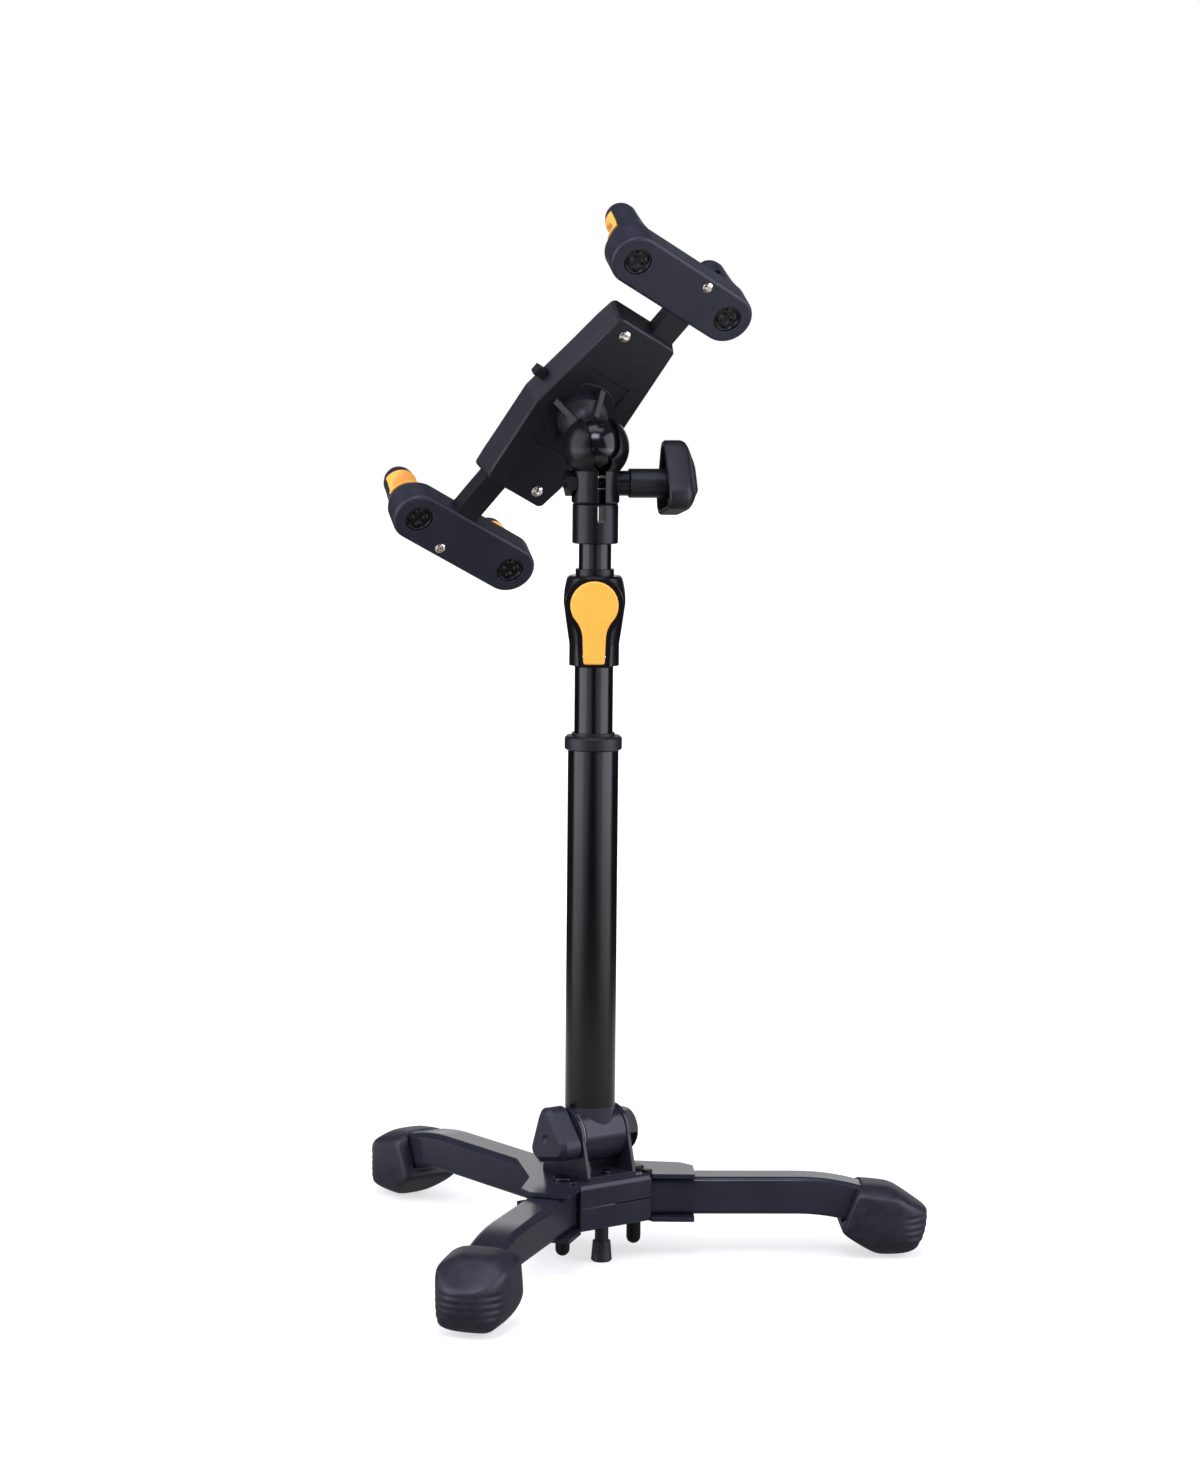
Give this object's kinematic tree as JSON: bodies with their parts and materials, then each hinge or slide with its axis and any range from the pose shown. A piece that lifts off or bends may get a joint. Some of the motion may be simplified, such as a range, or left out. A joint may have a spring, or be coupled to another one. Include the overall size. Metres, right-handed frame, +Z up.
{
  "type": "desktop tablet stand",
  "caption": "Desktop stand with a folding tripod base, a tilting mast, a height rod with a quick lever, a ball clamp and a sliding holder that grips a tablet.",
  "frame": {"origin": "centre of the bottom face of the centre bumper under the hub, on the surface it stands on", "axes": "+Z up along the mast, +Y away from the side that faces the clutch lever, +X to its right"},
  "size_m": [0.2908, 0.3151, 0.5248],
  "materials": {
    "black_coated_steel": "satin black powder coat",
    "black_rubber": "matt black rubber",
    "blackened_steel": "satin black plated steel",
    "bright_steel": "bright nickel plating",
    "black_plastic": "finely textured black plastic",
    "gloss_black_plastic": "polished black plastic",
    "yellow_plastic": "satin warm yellow plastic",
    "yellow_rubber": "soft warm yellow rubber",
    "nylon": "plain nylon"
  },
  "bodies": {
    "base": {"hub_top_plate": "black_coated_steel", "hub_bottom_plate": "black_coated_steel", "plate_screws": "blackened_steel", "pivot_bolts": "blackened_steel", "cap_nuts": "blackened_steel", "leg_washers": "nylon", "centre_bumper": "black_rubber", "leg_rear": "black_coated_steel", "foot_rear": "black_rubber", "tilt_bracket": "black_coated_steel", "tilt_bolt": "blackened_steel", "tilt_nut": "blackened_steel", "tilt_washers": "blackened_steel"},
    "right_leg": {"leg_right": "black_coated_steel", "foot_right": "black_rubber"},
    "front_left_leg": {"leg_front_left": "black_coated_steel", "foot_front_left": "black_rubber"},
    "tilt_knob": {"tilt_knob": "black_plastic"},
    "mast": {"mast_knuckle": "black_coated_steel", "friction_washers": "nylon", "outer_tube": "black_coated_steel", "tube_collar": "black_plastic", "guide_bush": "black_plastic", "inner_tube": "black_coated_steel", "clutch_housing": "black_plastic", "lever_pin": "bright_steel", "clutch_spring": "bright_steel", "lock_plate": "bright_steel"},
    "clutch_lever": {"clutch_lever": "yellow_plastic"},
    "rod": {"rod": "black_coated_steel"},
    "clamp": {"clamp_base": "black_plastic", "clamp_half_left": "black_plastic", "clamp_half_right": "black_plastic", "clamp_bolt": "blackened_steel", "clamp_nut": "blackened_steel"},
    "clamp_knob": {"clamp_knob": "black_plastic"},
    "ball": {"swivel_ball": "gloss_black_plastic"},
    "holder": {"ball_stem": "black_plastic", "back_cover": "black_plastic", "front_shell": "black_plastic", "front_pad": "black_rubber", "cover_screws": "bright_steel"},
    "upper_arm": {"arm_upper": "black_plastic", "bar_upper": "black_plastic", "post_upper_left": "black_plastic", "post_upper_right": "black_plastic", "grip_upper_left": "yellow_rubber", "grip_upper_right": "yellow_rubber", "post_screws_upper": "blackened_steel", "arm_screw_upper": "bright_steel"},
    "lower_arm": {"arm_lower": "black_plastic", "bar_lower": "black_plastic", "post_lower_left": "black_plastic", "post_lower_right": "black_plastic", "grip_lower_left": "yellow_rubber", "grip_lower_right": "yellow_rubber", "post_screws_lower": "blackened_steel", "arm_screw_lower": "bright_steel"},
    "pinion": {"pinion": "black_plastic"},
    "release_button": {"release_button": "black_plastic"}
  },
  "joints": [
    {"name": "right_leg_fold", "type": "hinge", "parent": "base", "child": "right_leg", "pos_m": [0.01605, 0.0156, 0.0314], "axis": [0, 0, 1], "range_deg": [0, 118]},
    {"name": "front_left_leg_fold", "type": "hinge", "parent": "base", "child": "front_left_leg", "pos_m": [-0.01942, -0.01112, 0.0314], "axis": [0, 0, 1], "range_deg": [-118, 0]},
    {"name": "mast_tilt", "type": "hinge", "parent": "base", "child": "mast", "pos_m": [-0.00644, 0.00855, 0.0632], "axis": [0.7986, 0.6018, 0], "range_deg": [-90, 90]},
    {"name": "tilt_knob_turn", "type": "hinge", "parent": "base", "child": "tilt_knob", "pos_m": [-0.02401, -0.0047, 0.0632], "axis": [0.7986, 0.6018, 0], "continuous": true},
    {"name": "rod_slide", "type": "slide", "parent": "mast", "child": "rod", "axis": [0, 0, 1], "range_m": [-0.012, 0.12]},
    {"name": "clutch_lever_press", "type": "hinge", "parent": "mast", "child": "clutch_lever", "pos_m": [-0.00644, -0.00605, 0.3035], "axis": [-1, 0, 0], "range_deg": [0, 3], "stiffness_Nm_per_rad": 1.5, "springref_deg": -2.86},
    {"name": "clamp_swivel", "type": "hinge", "parent": "rod", "child": "clamp", "pos_m": [-0.00644, 0.00855, 0.368], "axis": [0, 0, 1], "continuous": true},
    {"name": "clamp_knob_turn", "type": "hinge", "parent": "clamp", "child": "clamp_knob", "pos_m": [0.03109, 0.01449, 0.388], "axis": [0.9877, 0.1564, 0], "continuous": true},
    {"name": "ball_pitch", "type": "hinge", "parent": "clamp", "child": "ball", "pos_m": [-0.00644, 0.00855, 0.4055], "axis": [0.9537, 0.3007, 0], "range_deg": [-25, 115]},
    {"name": "holder_turn", "type": "hinge", "parent": "ball", "child": "holder", "pos_m": [-0.00644, 0.00855, 0.4055], "axis": [0.2604, -0.8259, -0.5], "continuous": true},
    {"name": "arm_upper_slide", "type": "slide", "parent": "holder", "child": "upper_arm", "axis": [0.6227, -0.2521, 0.7408], "range_m": [-0.012, 0.024]},
    {"name": "arm_lower_slide", "type": "slide", "parent": "holder", "child": "lower_arm", "axis": [0.6227, -0.2521, 0.7408], "range_m": [-0.024, 0.012]},
    {"name": "pinion_spin", "type": "hinge", "parent": "holder", "child": "pinion", "pos_m": [-0.01647, 0.04034, 0.42475], "axis": [0.2604, -0.8259, -0.5], "range_deg": [-172, 344]},
    {"name": "release_button_press", "type": "slide", "parent": "holder", "child": "release_button", "axis": [0.7379, 0.5042, -0.4486], "range_m": [0, 0.0018], "stiffness_N_per_m": 800, "springref_m": -0.001}
  ],
  "couplings": [
    {"joint": "arm_lower_slide", "follows": "arm_upper_slide", "ratio": -1},
    {"joint": "pinion_spin", "follows": "arm_upper_slide", "rad_per_m": 250}
  ]
}
